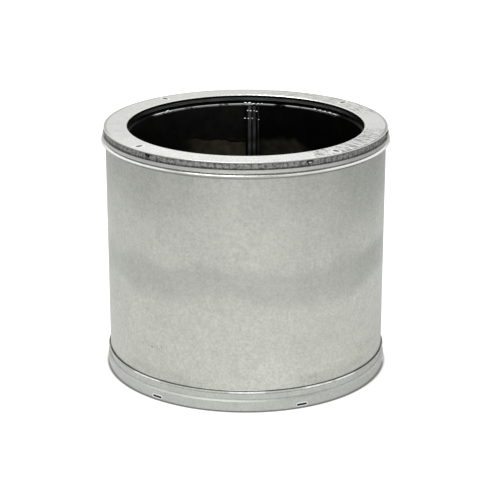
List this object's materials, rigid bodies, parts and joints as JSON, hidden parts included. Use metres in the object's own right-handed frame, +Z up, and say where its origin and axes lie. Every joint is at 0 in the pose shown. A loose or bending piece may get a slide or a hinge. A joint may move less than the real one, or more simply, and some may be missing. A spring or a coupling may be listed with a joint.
{
  "type": "insulated chimney pipe",
  "caption": "Short round double-wall chimney pipe standing on end, with a flat ring coupler and beaded skirt at the top and a flared socket band at the bottom",
  "frame": {"origin": "middle of the pipe's axis at the bottom edge of the socket", "axes": "+Z up along the pipe's axis, towards the flat face with the collar; -Y is the side that the picture shows in front"},
  "size_m": [0.314, 0.314, 0.2725],
  "materials": {
    "liner_steel": "bright, dark in reflection",
    "coated_steel": "aluminium-zinc coated, satin with a fine spangle",
    "fibre_blanket": "matt white fibre"
  },
  "bodies": {
    "root": {"inner_liner": "liner_steel", "outer_casing": "coated_steel", "top_coupler": "coated_steel", "bottom_coupler": "coated_steel", "insulation_blanket": "fibre_blanket"}
  },
  "joints": []
}
